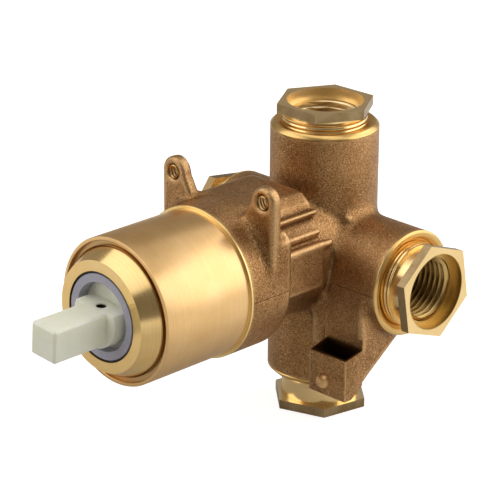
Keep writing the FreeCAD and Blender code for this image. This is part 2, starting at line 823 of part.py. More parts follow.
def tang_outlines(body, name, at, play):
    """Sketches of the two drive tangs, or of their slots, at a place along the stem."""
    for side in (1, -1):
        middle = S.tang_across * side
        yield outline(
            body, f"{name}{'Upper' if side > 0 else 'Lower'}Outline", "XY_Plane",
            box_corners(
                -S.tang_half_width - play, S.tang_half_width + play,
                middle - S.tang_half_thickness - play, middle + S.tang_half_thickness + play,
            ),
            shift=(0, 0, at),
        )


def make_rotating_disc():
    """Disc that the stem turns: a cross channel on its lapped face, and slots for the stem's tangs in front."""
    body = new_body("rotating_disc")
    back = S.rotating_disc_back
    front = S.rotating_disc_front
    radius = S.disc_radius
    turn(body, "Disc", [(0, back), (radius, back), (radius, front), (0, front)])
    channel = outline(
        body, "ChannelOutline", "XY_Plane",
        box_corners(
            -S.channel_half_width, S.channel_half_width, -S.channel_half_height, S.channel_half_height
        ),
        shift=(0, 0, back + S.channel_depth),
    )
    extrude(body, "Channel", "Pocket", channel, S.channel_depth)
    for number, slot in enumerate(tang_outlines(body, "Slot", front, S.seat_gap)):
        extrude(body, f"TangSlot{number}", "Pocket", slot, S.tang_length + S.seat_gap)
    seat_in_barrel(body, -S.stem_turn.value)


def make_control_stem():
    """Stem with a drive flange, a sealed journal, a round collar and a keyed square end."""
    body = new_body("control_stem")
    ring_front = S.stem_ring_back + S.stem_ring_width
    turn(body, "Shaft", [
        (0, S.stem_flange_back),
        (S.disc_radius, S.stem_flange_back),
        (S.disc_radius, S.stem_flange_front),
        (S.journal_radius, S.stem_flange_front),
        (S.journal_radius, S.stem_ring_back),
        (S.journal_radius - S.stem_ring_depth, S.stem_ring_back),
        (S.journal_radius - S.stem_ring_depth, ring_front),
        (S.journal_radius, ring_front),
        (S.journal_radius, S.journal_front),
        (S.collar_radius, S.journal_front),
        (S.collar_radius, S.collar_front),
        (0, S.collar_front),
    ])
    key_flat = outline(
        body, "KeyFlatOutline", "XY_Plane",
        box_corners(-S.collar_radius, S.collar_radius, S.square_key, S.collar_radius + OVERCUT),
        shift=(0, 0, S.collar_front),
    )
    extrude(body, "KeyFlat", "Pocket", key_flat, S.collar_front - S.journal_front)
    square = outline(
        body, "SquareOutline", "XY_Plane",
        box_corners(-S.square_side, S.square_side, -S.square_drop, S.square_key),
        shift=(0, 0, S.collar_front),
    )
    extrude(body, "Square", "Pad", square, S.square_length)
    for number, tang in enumerate(tang_outlines(body, "Tang", S.stem_flange_back, 0.0)):
        drive = extrude(body, f"Tang{number}", "Pad", tang, S.tang_length)
        drive.Reversed = True
    round_form(
        body, "StemHole", "Subtractive", "XZ_Plane", S.stem_hole_radius, S.stem_hole_depth + OVERCUT,
        (0, S.collar_front - S.stem_hole_set_back, -S.square_key - OVERCUT),
    )
    doc.recompute()
    bevel(body, body.Tip, lambda edge: edge.BoundBox.ZMax > S.collar_front.value + OVERCUT)
    seat_in_barrel(body, -S.stem_turn.value)


def bevel(body, base, wanted):
    """Bevels the wanted edges of the form so far."""
    names = [f"Edge{n}" for n, edge in enumerate(base.Shape.Edges, start=1) if wanted(edge)]
    bevelled = body.newObject("PartDesign::Chamfer", "BevelledEdges")
    bevelled.Base = (base, names)
    bind(bevelled, "Size", S.square_bevel)


def make_stem_o_ring():
    body = new_body("stem_o_ring")
    groove_floor = S.journal_radius - S.stem_ring_depth
    turn(body, "Ring", ring_corners(
        groove_floor + S.running_gap, S.cap_bore_radius - S.running_gap,
        S.stem_ring_back + S.running_gap, S.stem_ring_back + S.stem_ring_width - S.running_gap,
    ))
    seat_in_barrel(body)


def seat_across_spool(body, start):
    """Places a piece that was modelled about Z along the spool's axis, from a place on X."""
    body.Placement = FreeCAD.Placement(
        FreeCAD.Vector(start.value, -S.spool_front.value, S.barrel_rise.value),
        FreeCAD.Rotation(Y_AXIS, 90),
    )


def make_balance_spool():
    """Sleeve with cross holes, the piston that slides in it, and a plug in each end."""
    half_sleeve = S.sleeve_length / 2
    sleeve = new_body("balance_sleeve")
    turn(sleeve, "Sleeve", ring_corners(
        S.sleeve_bore_radius, S.spool_bore_radius - S.running_gap, as_size(0), S.sleeve_length,
    ))
    reach = S.spool_bore_radius + OVERCUT
    for side, name in ((1, "ColdHoles"), (-1, "HotHoles")):
        place = half_sleeve + S.sleeve_hole_across * side
        round_form(sleeve, name, "Subtractive", "XZ_Plane", S.sleeve_hole_radius, reach * 2, (0, place, -reach))
    seat_across_spool(sleeve, -half_sleeve)

    piston = new_body("balance_piston")
    radius = S.piston_radius
    waist = S.piston_radius - S.piston_waist_step
    turn(piston, "Piston", [
        (0, 0),
        (radius, 0),
        (radius, S.piston_land),
        (waist, S.piston_land),
        (waist, S.piston_length - S.piston_land),
        (radius, S.piston_length - S.piston_land),
        (radius, S.piston_length),
        (0, S.piston_length),
    ])
    seat_across_spool(piston, -S.piston_length / 2)

    for label, start in (
        ("cold_end_plug", half_sleeve - S.plug_thickness),
        ("hot_end_plug", -half_sleeve),
    ):
        plug = new_body(label)
        turn(plug, "Plug", [
            (0, 0), (radius, 0), (radius, S.plug_thickness), (0, S.plug_thickness),
        ])
        seat_across_spool(plug, start)


FLATS_TO_CORNERS = 1 / math.cos(math.radians(30))
HEX_RADIUS = S.hex_flats / 2 * FLATS_TO_CORNERS
HALF_SIDE = HEX_RADIUS / 2
HALF_FLATS = S.hex_flats / 2
HEX_CORNERS = [
    (HEX_RADIUS, 0),
    (HALF_SIDE, HALF_FLATS),
    (-HALF_SIDE, HALF_FLATS),
    (-HEX_RADIUS, 0),
    (-HALF_SIDE, -HALF_FLATS),
    (HALF_SIDE, -HALF_FLATS),
]


def make_adaptor(label, face, stand_off, outward, zero_turn, turn_degrees):
    """Hex bushing, modelled from its inner end outwards, then set into a port's face."""
    body = new_body(label)
    hex_front = S.bush_engagement + stand_off
    hex_back = hex_front - S.hex_thickness
    thread_end = S.bush_engagement + S.bush_thread_showing
    turn(body, "Bush", [
        (0, 0),
        (S.bush_thread_radius, 0),
        (S.bush_thread_radius, thread_end),
        (S.bush_collar_radius, thread_end),
        (S.bush_collar_radius, hex_back),
        (0, hex_back),
    ])
    hexagon = outline(body, "HexOutline", "XY_Plane", HEX_CORNERS, shift=(0, 0, hex_back))
    extrude(body, "Hex", "Pad", hexagon, S.hex_thickness)
    mouth_floor = hex_front - S.bush_mouth_depth
    revolve(body, "Bore", "Groove", "XZ_Plane", [
        (0, 0),
        (S.bush_bore_radius, 0),
        (S.bush_bore_radius, mouth_floor),
        (S.bush_mouth_radius, mouth_floor),
        (S.bush_mouth_radius, hex_front),
        (0, hex_front),
    ])
    across = outward.cross(zero_turn)
    angle = math.radians(turn_degrees.value)
    corner = zero_turn * math.cos(angle) + across * math.sin(angle)
    turned = FreeCAD.Rotation(corner, outward.cross(corner), outward, "ZXY")
    body.Placement = FreeCAD.Placement(outward * (face - S.bush_engagement).value, turned)


def make_adaptors():
    make_adaptor("hot_inlet_adaptor", S.arm_reach, S.hot_stand_off, -X_AXIS, Y_AXIS, -S.hot_hex_turn)
    make_adaptor("cold_inlet_adaptor", S.arm_reach, S.cold_stand_off, X_AXIS, Y_AXIS, S.cold_hex_turn)
    make_adaptor("shower_outlet_adaptor", S.tube_top, S.shower_stand_off, Z_AXIS, X_AXIS, S.shower_hex_turn)
    make_adaptor("tub_outlet_adaptor", S.tube_bottom, S.tub_stand_off, -Z_AXIS, X_AXIS, -S.tub_hex_turn)


def check_model():
    """Stops the build if a feature failed, a cut removed nothing, or a sub-part isn't one sound solid."""
    for thing in doc.Objects:
        if "Invalid" in thing.State or "Error" in thing.State:
            raise RuntimeError(f"{thing.Name} failed: {thing.State}")
        if any(kind in thing.TypeId for kind in ("Groove", "Pocket", "Subtractive")):
            if thing.Shape.Volume >= thing.BaseFeature.Shape.Volume:
                raise RuntimeError(f"{thing.Name} removes nothing")
    for body in NODES:
        if body.Shape.isNull() or not body.Shape.isValid() or len(body.Shape.Solids) != 1:
            raise RuntimeError(f"{body.Label} is not one sound solid")


make_casting()
make_retainer_nut()
make_cartridge_cap()
make_dust_seal()
make_cartridge_housing()
make_housing_o_ring()
make_port_seals()
make_lower_discs()
make_rotating_disc()
make_control_stem()
make_stem_o_ring()
make_balance_spool()
make_adaptors()
doc.recompute()
check_model()
os.makedirs("parts", exist_ok=True)
for node in NODES:
    node.Shape.exportStep(f"parts/{node.Label}.step")
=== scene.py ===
import math

import bmesh
import bpy
import numpy as np
from mathutils import Matrix, Vector


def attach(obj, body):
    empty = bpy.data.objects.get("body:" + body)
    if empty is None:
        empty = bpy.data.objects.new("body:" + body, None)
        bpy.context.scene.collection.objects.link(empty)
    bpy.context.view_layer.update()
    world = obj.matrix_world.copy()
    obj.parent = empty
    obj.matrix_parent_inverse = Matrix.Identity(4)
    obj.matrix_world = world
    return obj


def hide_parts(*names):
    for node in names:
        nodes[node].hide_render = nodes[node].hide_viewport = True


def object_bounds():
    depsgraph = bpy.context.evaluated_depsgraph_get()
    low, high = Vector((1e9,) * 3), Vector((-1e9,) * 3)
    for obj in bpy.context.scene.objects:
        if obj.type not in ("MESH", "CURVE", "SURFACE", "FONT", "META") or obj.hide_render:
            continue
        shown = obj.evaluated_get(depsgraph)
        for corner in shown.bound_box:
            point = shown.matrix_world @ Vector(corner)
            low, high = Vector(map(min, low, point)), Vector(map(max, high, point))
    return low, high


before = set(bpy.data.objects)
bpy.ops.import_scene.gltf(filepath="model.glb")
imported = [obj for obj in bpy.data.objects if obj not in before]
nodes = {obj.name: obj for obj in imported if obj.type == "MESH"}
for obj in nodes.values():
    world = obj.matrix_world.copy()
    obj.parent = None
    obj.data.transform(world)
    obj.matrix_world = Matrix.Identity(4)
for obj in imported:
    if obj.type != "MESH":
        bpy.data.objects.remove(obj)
cad_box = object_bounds()
scene = bpy.context.scene
MM = 0.001

# Points nearer than this, in metres, are one
WELD = 1e-6

# Sizes in millimetres, in the part's own frame. The hub, the barrel turned on it, and its bore
BARREL_RISE = 4.4
BARREL_RADIUS = 20.9
RIM_FRONT = 80.6
SHOULDER_FRONT = 50.5
HUB_RADIUS = 21.8
MOUTH_RADIUS = 19.8
MOUTH_DEPTH = 1.2
NUT_THREAD_RADIUS = 18.25
NUT_THREAD_END = 72.0
CAVITY_RADIUS = 16.6
CAVITY_FLOOR = 46.0
BARREL_LIP = 0.35

# The ports of the tube and the arms, and the bushings in them
TUBE_RADIUS = 15.5
ARM_RADIUS = 15.3
PORT_RADIUS = 12.0
PORT_DEPTH = 11.0
PORT_FLOOR_RADIUS = 7.6
COUNTERSINK = 1.6
BUSH_BORE_RADIUS = 9.4
BUSH_MOUTH_RADIUS = 10.85
BUSH_COLLAR_RADIUS = 11.25
BUSH_THREAD_RADIUS = 11.9
BUSH_MOUTH_DEPTH = 3.0
BUSH_ENGAGEMENT = 9.5
HEX_HALF_FLATS = 12.45
PIPE_PITCH = 1.81
BORE_THREAD_HEIGHT = 1.0
NECK_PITCH = 1.2
NECK_THREAD_HEIGHT = 0.2
NECK_THREAD_SHOWING = 2.0
NECK_THREAD_HIDDEN = 2.5

# Distances along a port's axis at which the painted shade in its bore begins, and is darkest
SHALLOW_BORE = 42.0
DEEP_BORE = 33.0

# A thread's form, as shares of half a pitch: its flat root, and its flank
THREAD_ROOT = 0.12
THREAD_FLANK = 0.72

# The ears' screw holes, the stem with its hole, and the nub on the box's front wall
EAR_ACROSS = 17.4
EAR_HEIGHT = 30.3
EAR_FRONT = 42.9
EAR_THICKNESS = 3.6
EAR_HOLE_RADIUS = 2.1
EAR_PITCH = 1.0
EAR_THREAD_HEIGHT = 0.45
STEM_TURN = math.radians(4.0)
STEM_HOLE_FRONT = 85.6
STEM_HOLE_RISE = 3.4
STEM_HOLE_RADIUS = 1.45
NUB_PLACE = (22.1, -22.1, -26.9)
NUB_RADIUS = 2.2
NUB_STEPS = 12
NUB_STEP_DEGREES = 8

# The casting's parting line: its heights on the hub and the arms, where it ends, and its half width
HUB_SEAM = 4.2
HUB_SEAM_ACROSS = 20.6
HUB_SEAM_BACK = 34.0
ARM_SEAM = -0.3
ARM_SEAM_ACROSS = 17.0
ARM_SEAM_DEPTH = 14.6
ARM_SEAM_FRONT = 16.0
SEAM_WIDTH = 0.3

# The bracket's box: the region that keeps its sharp edges, its outer edges, its pocket's inside, how far the
# pocket's painted shade fades up the wall behind it, and its front corners, where a painted highlight runs
BOX_LEFT = 15.6
BOX_BACK = 14.9
BOX_TOP = -14.5
BOX_EDGE_LEFT = 16.5
BOX_EDGE_RIGHT = 30.2
BOX_EDGE_FRONT = 22.1
POCKET_BACK = 15.1
POCKET_FRONT = 21.1
POCKET_TOP = -19.0
POCKET_FLOOR = -25.9
LIP_RISE = 1.6
POCKET_SHADE_FADE = 1.4
BOX_CORNERS = [(BOX_EDGE_RIGHT, -BOX_EDGE_FRONT, 0), (BOX_EDGE_LEFT, -BOX_EDGE_FRONT, 0)]

# The casting's skin: its voxels, and the forms that keep crisper edges, the crown's ribs and the bracket
SKIN_VOXEL = 0.53
RIBS_BACK = 14
RIBS_FRONT = 42
RIBS_LOW = -3
RIBS_ACROSS = 11
WALL_TOP = -15
WALL_LEFT = 15.5
WALL_BACK = 12.5

# The inside that the skin leaves out: the cavity in front of its seat, and the hub's bore round it
SEAT_FRONT = 23.0
HUB_BORE_RADIUS = 19.0
HUB_BORE_BACK = 36.5
SKIN_MARGIN = 1.0

# How the skin is worked: rounds of easing, of filling its corners and of spreading the mark of its edges
EASING_TURNS = 6
CRISP_TURNS = 3
EASING = 0.5
FILL_ROUNDS = 6
FILL_TURNS = 6
FILLING = 0.6
EDGE_SPREAD = 3
EDGE_GAIN = 8

# Edges sharper than this, in degrees, are bevelled and shaded sharp
SHARP_ANGLE = 35
ALL_SMOOTH = 180

# Tints of the bronze and the brass, and of the other materials, the darker first
BRONZE_DARK = (0.18, 0.08, 0.02, 1)
BRONZE_PALE = (0.56, 0.315, 0.138, 1)
BRONZE_EDGE = (0.66, 0.42, 0.20, 1)
# Painted shade for the bronze's hollows and creases
BRONZE_HOLLOW_SHADE = (0.075, 0.03, 0.007, 1)
BRONZE_SPARKLE = (0.90, 0.63, 0.34, 1)
BRONZE_PIT = (0.11, 0.048, 0.013, 1)
# Painted shade inside the bracket's pocket
POCKET_SHADE_TINT = (0.05, 0.021, 0.005, 1)
SATIN_BRASS = ((0.74, 0.455, 0.195, 1), (0.84, 0.56, 0.275, 1))
GOLDEN_BRASS = ((0.62, 0.39, 0.13, 1), (0.76, 0.51, 0.20, 1))
BRIGHT_BRASS = ((0.80, 0.53, 0.20, 1), (0.90, 0.645, 0.30, 1))
# Painted shade for the bushings' hex flats
SHADED_FLATS = ((0.27, 0.185, 0.085, 1), (0.40, 0.29, 0.155, 1))
# Painted shade for the nut's groove and the ears' thread roots
RECESS_SHADE_BRASS = (0.24, 0.13, 0.035, 1)
# Painted shade deep in the bushings' bores
BORE_SHADE_BRASS = (0.20, 0.10, 0.022, 1)
# Painted highlight for the bushings' inner shoulders
INNER_SHOULDER_HIGHLIGHT = (0.95, 0.84, 0.58, 1)
# Painted light in the bushings' mouths: shade on the arms, a highlight on the tubes
ARM_MOUTH_SHADE = (0.62, 0.43, 0.16, 1)
TUBE_MOUTH_HIGHLIGHT = (0.92, 0.72, 0.40, 1)
# Painted shade for the inside of the stem's hole
HOLE_SHADE = (0.045, 0.018, 0.006, 1)
STEM_WHITE = ((0.88, 0.91, 0.75, 1), (0.93, 0.95, 0.82, 1))
CAP_GREY = ((0.39, 0.38, 0.47, 1), (0.46, 0.45, 0.56, 1))
HOUSING_GREY = ((0.52, 0.53, 0.51, 1), (0.62, 0.63, 0.61, 1))
RUBBER_BLACK = ((0.012, 0.012, 0.013, 1), (0.03, 0.03, 0.032, 1))
CERAMIC_WHITE = ((0.76, 0.74, 0.68, 1), (0.85, 0.83, 0.78, 1))
STEEL_GREY = ((0.58, 0.58, 0.6, 1), (0.72, 0.72, 0.73, 1))
FLOOR_GREY = ((0.54, 0.54, 0.53, 1), (0.58, 0.58, 0.57, 1))
ROOM_WARM = (1.0, 0.87, 0.68, 1)
WHITE = (1, 1, 1, 1)

# How light spreads under the skin of plastic: metres, and the share of red, green and blue
SCATTER_SCALE = 0.002
SCATTER_SHARES = (1.0, 1.0, 0.8)
PLASTIC_IOR = 1.5

# Bands on the turned brass: inner and outer radius, how strong, and the tint
# Painted shade in the groove between the nut and the barrel's mouth
NUT_GROOVE = (18.3, 19.85, 0.48, RECESS_SHADE_BRASS)
PALE_NECK = (11.2, 15.0, 0.3, (0.94, 0.75, 0.42, 1))
# Painted highlight on the barrel's shoulder ring at the hub's front
SHOULDER_HIGHLIGHT = (20.98, 22.0, 0.8, (0.98, 0.73, 0.29, 1))
# Painted shade in the roots of the ears' screw threads
EAR_ROOTS = (EAR_HOLE_RADIUS - 0.25, EAR_HOLE_RADIUS + 0.2, 0.97, RECESS_SHADE_BRASS)

# The studio: how much of the white floor and surround the metal shows, the floor's painted pools of light, a
# glow that only the metal shows (direction, how far out in millimetres they begin and are full, strength),
# and the room's light, dimmer on one side
FLOOR_HALF_WIDTH = 3
FLOOR_GLOW = 0.8
FLOOR_IN_METAL = 0.04
GLOW_POOLS = [((0.5, 0.866, 0), -60.0, 70.0, 0.55), ((-0.7, -0.71, 0), 100.0, 200.0, 0.38)]
ROOM_IN_METAL = 0.1
ROOM_LIGHT = 0.24
ROOM_SHADE = 0.14
SHADED_SIDE = (0.87, -0.48, 0.1)

# Soft boxes: name, place in metres, width, height and watts, all facing one point
LIGHT_TARGET = (0, -0.02, 0.0)
SOFT_BOXES = [
    ("right_box", (0.573, 0.682, 0.454), 1.5, 1.0, 8.2),
    ("left_box", (-0.62, -0.82, 0.55), 1.1, 1.0, 5.0),
    ("top_box", (0.0, -0.14, 0.95), 1.8, 0.6, 4.0),
    ("back_box", (0.1, 0.62, 0.8), 0.7, 0.6, 0.8),
]


class Port:
    """One port: its outward direction, its face's distance, radius and bevel, and its bushing's stand-off."""

    def __init__(self, name, outward, face, wall, bevel, stand_off):
        self.name = name
        self.outward = Vector(outward)
        self.face = face
        self.wall = wall
        self.bevel = bevel
        self.stand_off = stand_off

    def place(self):
        """Turns a form made about Z so that Z points out of this port."""
        return self.outward.to_track_quat("Z", "Y").to_matrix().to_4x4()


PORTS = [
    Port("hot_inlet", (-1, 0, 0), 34.6, ARM_RADIUS, 0.5, 6.9),
    Port("cold_inlet", (1, 0, 0), 34.6, ARM_RADIUS, 0.5, 8.8),
    Port("shower_outlet", (0, 0, 1), 39.9, TUBE_RADIUS, 1.0, 5.9),
    Port("tub_outlet", (0, 0, -1), 36.2, TUBE_RADIUS, 1.5, 10.3),
]
CROSSING = (0, 0, 0)
BARREL_CENTRE = (0, 0, BARREL_RISE)
ARM_AXIS = (1, 0, 0)
BARREL_AXIS = (0, 1, 0)
TUBE_AXIS = (0, 0, 1)
FORWARD = (0, -1, 0)
DOWNWARD = (0, 0, -1)


def facing_forward(spot):
    """Puts a form made about Z at a spot in millimetres, with Z turned to the front."""
    return Matrix.Translation(Vector(spot) * MM) @ Matrix.Rotation(math.radians(90), 4, "X")


# The photograph's camera, fitted to the object's edges
CAMERA_AZIMUTH = math.radians(44.812)
CAMERA_ELEVATION = math.radians(21.501)
CAMERA_ROLL = math.radians(0.471)
CAMERA_DISTANCE = 727.194 * MM
FOCAL_PIXELS = 2520.355
PHOTO_PIXELS = 500
ORIGIN_PIXEL = (322.378, 250.562)
SENSOR_MM = 36.0


def add_camera():
    """Looks at the object as the photograph does, with the frame's origin at its pixel there."""
    flat = math.cos(CAMERA_ELEVATION)
    back = Vector((math.sin(CAMERA_AZIMUTH) * flat, -math.cos(CAMERA_AZIMUTH) * flat,
                   math.sin(CAMERA_ELEVATION)))
    level = Vector((math.cos(CAMERA_AZIMUTH), math.sin(CAMERA_AZIMUTH), 0))
    upright = back.cross(level)
    right = level * math.cos(CAMERA_ROLL) + upright * math.sin(CAMERA_ROLL)
    up = upright * math.cos(CAMERA_ROLL) - level * math.sin(CAMERA_ROLL)
    metres_per_pixel = CAMERA_DISTANCE / FOCAL_PIXELS
    aside = (ORIGIN_PIXEL[0] - PHOTO_PIXELS / 2) * metres_per_pixel
    below = (ORIGIN_PIXEL[1] - PHOTO_PIXELS / 2) * metres_per_pixel
    eye = back * CAMERA_DISTANCE - right * aside + up * below
    data = bpy.data.cameras.new("photo_camera")
    data.sensor_width = SENSOR_MM
    data.lens = FOCAL_PIXELS / PHOTO_PIXELS * SENSOR_MM
    camera = bpy.data.objects.new("photo_camera", data)
    camera.matrix_world = Matrix.Translation(eye) @ Matrix((right, up, back)).transposed().to_4x4()
    scene.collection.objects.link(camera)
    scene.camera = camera


class Field:
    """A shader socket that takes part in Python arithmetic."""

    def __init__(self, shade, socket):
        self.shade = shade
        self.socket = socket

    def math(self, operation, *others):
        return self.shade.node("ShaderNodeMath", {"operation": operation}, dict(enumerate((self, *others))))

    def __add__(self, other):
        return self.math("ADD", other)

    def __sub__(self, other):
        return self.math("SUBTRACT", other)

    def __mul__(self, other):
        return self.math("MULTIPLY", other)

    def __rsub__(self, other):
        return (self * -1) + other

    __radd__ = __add__
    __rmul__ = __mul__

    def rise(self, low, high):
        """0 below low, 1 above high, smooth between."""
        return self.shade.node("ShaderNodeMapRange", {"interpolation_type": "SMOOTHSTEP"},
                               {"Value": self, "From Min": low, "From Max": high})


class Shade:
    """The nodes of one material or world. Makes them, and wraps their outputs."""

    def __init__(self, owner):
        owner.use_nodes = True
        self.owner = owner
        self.tree = owner.node_tree
        self.tree.nodes.clear()

    def node(self, kind, settings=None, values=None, output=0):
        """Adds a node: its settings first, then its sockets' values or links."""
        made = self.tree.nodes.new(kind)
        for key, value in (settings or {}).items():
            setattr(made, key, value)
        for key, value in (values or {}).items():
            if isinstance(value, Field):
                self.tree.links.new(value.socket, made.inputs[key])
            else:
                made.inputs[key].default_value = value
        return Field(self, made.outputs[output]) if made.outputs else None

    def place(self):
        """The point's place on the object, in millimetres."""
        metres = self.node("ShaderNodeTexCoord", output="Object")
        return self.node("ShaderNodeVectorMath", {"operation": "SCALE"}, {0: metres, "Scale": 1 / MM})

    def dot(self, place, axis):
        """How far a place lies along an axis."""
        return self.node("ShaderNodeVectorMath", {"operation": "DOT_PRODUCT"}, {0: place, 1: axis},
                         output="Value")

    def spread(self, place):
        """How far a place lies to the right, to the front and up."""
        return [self.dot(place, axis) for axis in (ARM_AXIS, FORWARD, TUBE_AXIS)]

    def offset(self, place, centre):
        return self.node("ShaderNodeVectorMath", {"operation": "SUBTRACT"}, {0: place, 1: centre})

    def length(self, place):
        return self.node("ShaderNodeVectorMath", {"operation": "LENGTH"}, {0: place}, output="Value")

    def from_axis(self, reach, along):
        """A place's distance from an axis, from its distances to a point of the axis and along it."""
        return (reach * reach - along * along).math("MAXIMUM", 0.0).math("SQRT")

    def ray(self, kind):
        """1 for rays of one kind, such as Camera or Glossy."""
        return self.node("ShaderNodeLightPath", output=f"Is {kind} Ray")

    def noise(self, place, size, detail=2.0, roughness=0.5):
        """Noise from 0 to 1, whose lumps are about size millimetres across."""
        return self.node("ShaderNodeTexNoise", None,
                         {"Vector": place, "Scale": 1 / size, "Detail": detail, "Roughness": roughness})

    def blend(self, factor, first, second):
        """Between two colours."""
        return self.node("ShaderNodeMix", {"data_type": "RGBA"}, {0: factor, 6: first, 7: second}, output=2)

    def bump(self, height, depth, strength=1.0):
        """A normal for a surface whose height runs from 0 to 1 over depth millimetres."""
        return self.node("ShaderNodeBump", None,
                         {"Strength": strength, "Distance": depth * MM, "Height": height})

    def finish(self, **sockets):
        """Ends in one Principled shader. Socket names use _ for a space."""
        surface = self.node("ShaderNodeBsdfPrincipled", None,
                            {key.replace("_", " "): value for key, value in sockets.items()})
        self.node("ShaderNodeOutputMaterial", None, {"Surface": surface})
        return self.owner


def new_shade(name):
    return Shade(bpy.data.materials.new(name))


def seam_line(shade, place):
    """1 along the casting's parting line: on the hub's sides, and along the arms in front and behind."""
    across, front, height = shade.spread(place)
    across = across.math("ABSOLUTE")
    depth = front.math("ABSOLUTE")
    on_hub = (height - HUB_SEAM).math("ABSOLUTE").rise(SEAM_WIDTH, 0.0)
    on_hub = on_hub * across.rise(HUB_SEAM_ACROSS, HUB_SEAM_ACROSS + 0.6)
    on_hub = on_hub * front.rise(HUB_SEAM_BACK, HUB_SEAM_BACK + 0.6)
    on_arm = (height - ARM_SEAM).math("ABSOLUTE").rise(SEAM_WIDTH, 0.0)
    on_arm = on_arm * across.rise(ARM_SEAM_ACROSS, ARM_SEAM_ACROSS + 1.5)
    on_arm = on_arm * depth.rise(ARM_SEAM_DEPTH, ARM_SEAM_DEPTH + 0.3)
    on_arm = on_arm * front.rise(ARM_SEAM_FRONT + 0.5, ARM_SEAM_FRONT)
    return on_hub + on_arm


def pocket_shade_mask(shade, place):
    """Painted shade: 1 inside the bracket's box and on its rim, fading up the wall behind it."""
    across, front, height = shade.spread(place)
    between = across.rise(BOX_EDGE_LEFT + 0.15, BOX_EDGE_LEFT + 0.4)
    between = between * across.rise(BOX_EDGE_RIGHT - 0.15, BOX_EDGE_RIGHT - 0.4)
    between = between * front.rise(BOX_EDGE_FRONT - 0.15, BOX_EDGE_FRONT - 0.4)
    between = between * front.rise(POCKET_BACK - 0.2, POCKET_BACK)
    lip = POCKET_TOP + (POCKET_FRONT - front) * (LIP_RISE / (POCKET_FRONT - POCKET_BACK))
    under_lip = (lip - height).rise(-POCKET_SHADE_FADE, 0.0)
    return between * under_lip * height.rise(POCKET_FLOOR - 0.8, POCKET_FLOOR - 0.3)


def cast_bronze():
    """Sand-cast bronze: brown, with a sparkling grain, edges paler from wear and from a painted highlight,
    and painted shade in its hollows and its pocket.
    """
    shade = new_shade("cast_bronze")
    place = shade.place()
    grain = shade.noise(place, 0.4, detail=3.0, roughness=0.6)
    speck = shade.noise(place, 0.3, detail=1.0)
    sand = shade.noise(place, 1.3, detail=4.0, roughness=0.65)
    cloud = shade.noise(place, 14.0, detail=3.0)
    edge = shade.node("ShaderNodeAttribute", {"attribute_name": "edge"}, output="Fac")
    # Painted highlight: a pale line down the box's two front vertical corners, added to the edge mark
    for corner in BOX_CORNERS:
        beside = shade.node("ShaderNodeVectorMath", {"operation": "MULTIPLY"},
                            {0: shade.offset(place, corner), 1: (1, 1, 0)})
        below = shade.dot(place, DOWNWARD).rise(-WALL_TOP, -POCKET_TOP)
        edge = edge + shade.length(beside).rise(0.7, 0.2) * below * 0.2
    # Edges paler from wear, and along the box's corners from the painted highlight
    wear_and_highlight = edge.rise(0.02, 0.2)
    # Painted shade: concave places darken
    hollow_shade = (edge * -1).rise(0.02, 0.22)
    seam = seam_line(shade, place)
    tone = grain * 0.55 + sand * 0.2 + cloud * 0.25
    colour = shade.blend(tone.rise(0.33, 0.67), BRONZE_DARK, BRONZE_PALE)
    colour = shade.blend(wear_and_highlight * 0.5, colour, BRONZE_EDGE)
    colour = shade.blend(hollow_shade * 0.65, colour, BRONZE_HOLLOW_SHADE)
    colour = shade.blend(speck.rise(0.6, 0.72) * 0.6, colour, BRONZE_SPARKLE)
    colour = shade.blend(speck.rise(0.42, 0.3) * 0.45, colour, BRONZE_PIT)
    colour = shade.blend(seam * 0.55, colour, BRONZE_PIT)
    # Painted shade inside the pocket, on its rim and up the foot of the wall behind it
    colour = shade.blend(pocket_shade_mask(shade, place) * 0.9, colour, POCKET_SHADE_TINT)
    rough = 0.55 - grain * 0.16 - wear_and_highlight * 0.08
    height = grain * 0.7 + sand * 0.3 - seam * 0.8
    normal = shade.bump(height, 0.18, 0.7)
    return shade.finish(Base_Color=colour, Metallic=1.0, Roughness=rough, Normal=normal)


